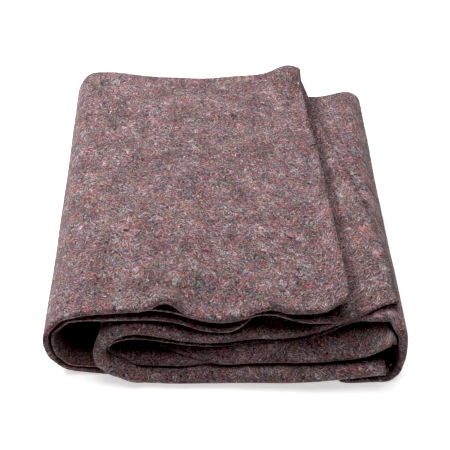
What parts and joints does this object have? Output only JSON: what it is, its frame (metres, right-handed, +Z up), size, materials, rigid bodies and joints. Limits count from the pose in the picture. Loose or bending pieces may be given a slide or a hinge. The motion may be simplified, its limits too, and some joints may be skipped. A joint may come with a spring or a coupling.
{
  "type": "moving blanket, folded",
  "caption": "Thick needled-felt moving blanket of mottled recycled fibre, folded in half twice, rolled inwards in flat panels and laid on the floor.",
  "frame": {"origin": "on the floor under the middle of the folded blanket's bounding box", "axes": "+X to the right along the front edges, +Y from the front noses to the back, +Z up"},
  "size_m": [0.4568, 0.5204, 0.1174],
  "materials": {
    "felt": "matte"
  },
  "bodies": {
    "root": {"blanket": "felt"}
  },
  "joints": []
}
